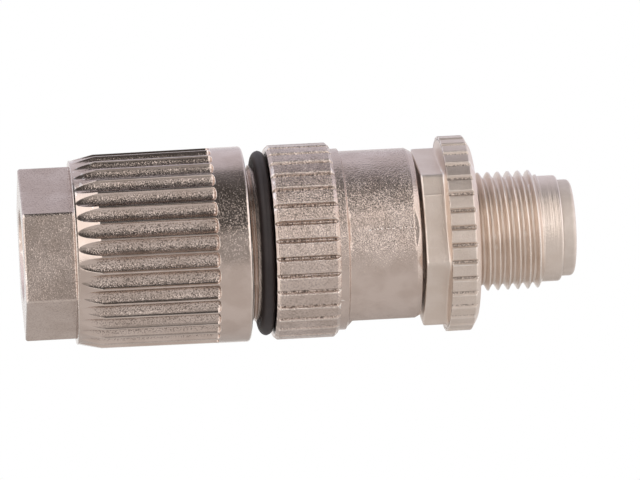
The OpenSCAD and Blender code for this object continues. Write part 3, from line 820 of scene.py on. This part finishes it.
def make_floor():
    """Small pale table top. It fades out at its edge, and it can't be seen from below or in the metal."""
    size, fade_start, fade_end = 0.2, 0.06, 0.15
    material, tree, place = new_material("matt_white_laminate")
    far = add(tree, "ShaderNodeVectorMath", {0: place}, operation="LENGTH").outputs["Value"]
    below = add(tree, "ShaderNodeNewGeometry").outputs["Backfacing"]
    top = add(tree, "ShaderNodeBsdfPrincipled", {
        "Base Color": linear("#F2F0EE"), "Roughness": 0.6,
        "Normal": relief(tree, 0.1, 0.1, noise(tree, place, 0.6, 2.0))})
    clear = add(tree, "ShaderNodeBsdfTransparent")
    # The tent lights the plug from below too, so the metal mirrors the tent there and not the table
    mirrored = add(tree, "ShaderNodeLightPath").outputs["Is Glossy Ray"]
    faded = between(tree, far, fade_start, fade_end)
    gone = sums(tree, "MAXIMUM", faded, sums(tree, "MAXIMUM", below, mirrored))
    shown = add(tree, "ShaderNodeMixShader", {0: gone, 1: top.outputs[0], 2: clear.outputs[0]})
    close(tree, shown.outputs[0])
    corners = [(-size, -size, 0), (size, -size, 0), (size, size, 0), (-size, size, 0)]
    mesh = bpy.data.meshes.new("floor")
    mesh.from_pydata(corners, [], [(0, 1, 2, 3)])
    mesh.materials.append(material)
    floor = bpy.data.objects.new("floor", mesh)
    bpy.context.scene.collection.objects.link(floor)


def make_world():
    """White light tent with a dark opening above the camera, which the plated metal mirrors.

    turn is the angle of a direction above the camera's side, and lean its angle towards the mating end.
    """
    world = bpy.data.worlds.new("light_tent")
    bpy.context.scene.world = world
    world.use_nodes = True
    tree = world.node_tree
    tree.nodes.clear()
    rad = math.radians

    def between_deg(value, start, end, out_low=0.0, out_high=1.0):
        """Like between, with the limits in degrees."""
        return between(tree, value, rad(start), rad(end), out_low, out_high)

    def band(value, start, end, soft):
        """1 between two angles in degrees, fading to 0 over soft degrees on both sides."""
        up = between_deg(value, start - soft, start + soft)
        down = between_deg(value, end - soft, end + soft, 1.0, 0.0)
        return product(tree, up, down)

    toward = add(tree, "ShaderNodeTexCoord").outputs["Generated"]
    axes = add(tree, "ShaderNodeSeparateXYZ", {0: toward}).outputs
    upward = product(tree, axes["X"], -1.0)
    to_camera = product(tree, axes["Y"], -1.0)
    lean = sums(tree, "ARCSINE", axes["Z"])
    turn = sums(tree, "ARCTAN2", upward, to_camera)
    # The tent is even about a lean of 4 degrees, near which the plug's straight sides mirror it
    aside = sums(tree, "ABSOLUTE", sums(tree, "SUBTRACT", lean, rad(4)))

    # Cloth: dimmer low down behind the plug, brighter above it, and lit most to both sides of the camera
    cloth = sums(tree, "ADD", between_deg(turn, -170, -70, 0.5, 0.65), between_deg(turn, 84, 150, 0.0, 0.19))
    around = sums(tree, "MAXIMUM", band(turn, -12, 92, 8), between_deg(aside, 45, 60))
    sides = product(tree, between_deg(aside, 8, 22), around)
    walls = blended(tree, sides, cloth, between_deg(aside, 35, 60, 1.6, 1.3))
    # The camera's own greyish surroundings, and the opening that widens towards its far end
    grey = product(tree, band(turn, -22, 24, 5), between_deg(aside, 6, 14, 0.44, 0.0))
    middle = between_deg(turn, 35, 90, rad(4), rad(17))
    half_width = between_deg(turn, 35, 90, rad(9), rad(31))
    beside = sums(tree, "ABSOLUTE", sums(tree, "SUBTRACT", lean, middle))
    inside = between_deg(sums(tree, "SUBTRACT", beside, half_width), -5, 5, 1.0, 0.0)
    shade = between_deg(turn, 60, 100, 0.9, 0.72)
    opening = product(tree, inside, band(turn, 17, 99, 6), shade)
    left = product(tree, sums(tree, "SUBTRACT", 1.0, grey), sums(tree, "SUBTRACT", 1.0, opening))
    # The cloth behind is a little cooler than the one below
    tint = mixed(tree, between_deg(turn, 60, 110), "#FFFAF7", "#F7F4FF")
    lit = {0: tint, "Scale": product(tree, walls, left)}
    shown = add(tree, "ShaderNodeVectorMath", lit, operation="SCALE").outputs[0]
    tent = add(tree, "ShaderNodeBackground", {"Color": shown})
    white = add(tree, "ShaderNodeBackground", {"Color": (1, 1, 1, 1)})
    # The camera looks at a white backdrop, and the metal mirrors it too where it stands behind the plug
    path = add(tree, "ShaderNodeLightPath").outputs
    far_side = between_deg(sums(tree, "ABSOLUTE", turn), 158, 168)
    behind = product(tree, far_side, between_deg(aside, 20, 30, 1.0, 0.0))
    mirrored = sums(tree, "MAXIMUM", path["Is Glossy Ray"], path["Is Transmission Ray"])
    backdrop = sums(tree, "MAXIMUM", path["Is Camera Ray"], product(tree, mirrored, behind))
    seen = add(tree, "ShaderNodeMixShader", {0: backdrop, 1: tent.outputs[0], 2: white.outputs[0]})
    add(tree, "ShaderNodeOutputWorld", {"Surface": seen.outputs[0]})


# ---------------------------------------------------------------- the plug

def main():
    """Loads the frame, dresses it and sets the studio."""
    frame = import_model()
    make_camera()
    make_world()
    make_floor()
    cap = cast_nickel("nickel_plated_zinc_cap", 0.15, 0.3, 0.3, 0.17, cap_grain)
    body = cast_nickel("nickel_plated_zinc_housing", 0.17, 0.48, 0.25, 0.25, housing_grain)
    screw = turned_nickel("nickel_plated_turned_brass", THREAD_START)
    sleeve = bead_blasted_nickel("nickel_plated_blasted_sleeve")
    rubber = nitrile("moulded_nitrile")
    plastic = nylon("glass_filled_nylon")
    make_clamp_nut(cap)
    make_housing(body)
    make_locking_screw(screw)
    make_housing_seal(rubber)
    make_shield_sleeve(sleeve)
    finishes = {
        "nitrile_rubber": (rubber, ["cable_seal", "insert_seal"]),
        "moulded_nylon": (plastic, ["thrust_ring", "clamp_cage", "terminal_block", "contact_carrier"]),
        "plated_steel": (steel("zinc_plated_steel"), ["seal_washer", "screen_ring", "retaining_ring"]
                         + [f"terminal_screw_{i}" for i in range(1, 5)]),
        "gold_plate": (gold("gold_plated_pin"), [f"contact_pin_{i}" for i in range(1, 5)]),
    }
    for slot, (material, nodes) in finishes.items():
        for name in nodes:
            node = frame["nodes"][name]
            node.data.materials.clear()
            node.data.materials.append(material)
    scene = bpy.context.scene
    scene.view_settings.view_transform = "Standard"


main()
